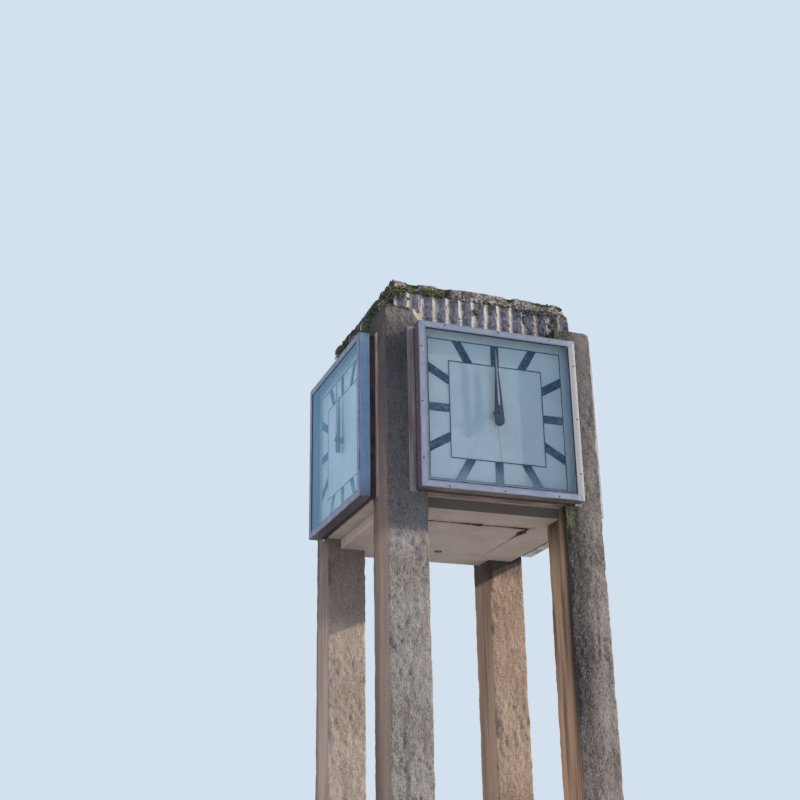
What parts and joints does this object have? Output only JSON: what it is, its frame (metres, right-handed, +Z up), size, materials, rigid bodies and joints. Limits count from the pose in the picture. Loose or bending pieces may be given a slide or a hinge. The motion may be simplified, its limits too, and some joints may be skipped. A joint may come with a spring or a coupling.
{
  "type": "clock tower",
  "caption": "Free-standing concrete clock tower: square piers carry a fluted attic and a glazed clock casing with turning hands on every side.",
  "frame": {"origin": "on the ground at the centre of the four piers", "axes": "+Z up, the front clock faces -Y, the right clock faces +X"},
  "size_m": [2.24, 2.24, 6.51],
  "materials": {
    "weathered_concrete": "weathered cast concrete, rough, stained with soot and algae",
    "mossy_concrete": "eroded concrete grown over with moss",
    "painted_soffit": "cream masonry paint, dusty, rust stained at the joints",
    "rusted_steel": "brown paint over rusting mild steel",
    "lock_plate_metal": "dull, dark",
    "casing_metal": "grey painted sheet steel, semi-gloss, rusty underneath",
    "bezel_metal": "pale grey paint, semi-matte, rust at the screws and inner edges",
    "window_glass": "clear, dusty",
    "opal_glass": "pale opal sheet",
    "dark_blue_paint": "matt",
    "spindle_brass": "tarnished"
  },
  "bodies": {
    "tower": {"pier_front_left": "weathered_concrete", "pier_front_right": "weathered_concrete", "pier_rear_left": "weathered_concrete", "pier_rear_right": "weathered_concrete", "attic_wall_front": "weathered_concrete", "attic_wall_right": "weathered_concrete", "attic_wall_rear": "weathered_concrete", "attic_wall_left": "weathered_concrete", "spandrel_beams": "weathered_concrete", "cap_slab": "mossy_concrete", "soffit_boards": "painted_soffit", "soffit_edge_strips": "painted_soffit", "access_hatch": "painted_soffit", "hatch_frame": "rusted_steel", "casing_straps": "rusted_steel", "stand_off_bars": "rusted_steel", "hatch_lock_plate": "lock_plate_metal", "casing_front": "casing_metal", "casing_right": "casing_metal", "casing_rear": "casing_metal", "casing_left": "casing_metal", "bezel_front": "bezel_metal", "bezel_right": "bezel_metal", "bezel_rear": "bezel_metal", "bezel_left": "bezel_metal", "glass_front": "window_glass", "glass_right": "window_glass", "glass_rear": "window_glass", "glass_left": "window_glass", "dial_front": "opal_glass", "dial_right": "opal_glass", "dial_rear": "opal_glass", "dial_left": "opal_glass", "dial_markers": "dark_blue_paint", "hand_spindles": "spindle_brass"},
    "hour_hand_front": {"hour_hand_front": "dark_blue_paint"},
    "minute_hand_front": {"minute_hand_front": "dark_blue_paint"},
    "hour_hand_right": {"hour_hand_right": "dark_blue_paint"},
    "minute_hand_right": {"minute_hand_right": "dark_blue_paint"},
    "hour_hand_rear": {"hour_hand_rear": "dark_blue_paint"},
    "minute_hand_rear": {"minute_hand_rear": "dark_blue_paint"},
    "hour_hand_left": {"hour_hand_left": "dark_blue_paint"},
    "minute_hand_left": {"minute_hand_left": "dark_blue_paint"}
  },
  "joints": [
    {"name": "front_minute", "type": "hinge", "parent": "tower", "child": "minute_hand_front", "pos_m": [0, -1.065, 5.295], "axis": [0, 1, 0], "continuous": true},
    {"name": "front_hour", "type": "hinge", "parent": "tower", "child": "hour_hand_front", "pos_m": [0, -1.065, 5.295], "axis": [0, 1, 0], "continuous": true},
    {"name": "right_minute", "type": "hinge", "parent": "tower", "child": "minute_hand_right", "pos_m": [1.065, 0, 5.295], "axis": [-1, 0, 0], "continuous": true},
    {"name": "right_hour", "type": "hinge", "parent": "tower", "child": "hour_hand_right", "pos_m": [1.065, 0, 5.295], "axis": [-1, 0, 0], "continuous": true},
    {"name": "rear_minute", "type": "hinge", "parent": "tower", "child": "minute_hand_rear", "pos_m": [0, 1.065, 5.295], "axis": [0, -1, 0], "continuous": true},
    {"name": "rear_hour", "type": "hinge", "parent": "tower", "child": "hour_hand_rear", "pos_m": [0, 1.065, 5.295], "axis": [0, -1, 0], "continuous": true},
    {"name": "left_minute", "type": "hinge", "parent": "tower", "child": "minute_hand_left", "pos_m": [-1.065, 0, 5.295], "axis": [1, 0, 0], "continuous": true},
    {"name": "left_hour", "type": "hinge", "parent": "tower", "child": "hour_hand_left", "pos_m": [-1.065, 0, 5.295], "axis": [1, 0, 0], "continuous": true}
  ],
  "couplings": [
    {"joint": "front_hour", "follows": "front_minute", "ratio": 0.083333},
    {"joint": "right_hour", "follows": "right_minute", "ratio": 0.083333},
    {"joint": "rear_hour", "follows": "rear_minute", "ratio": 0.083333},
    {"joint": "left_hour", "follows": "left_minute", "ratio": 0.083333}
  ]
}
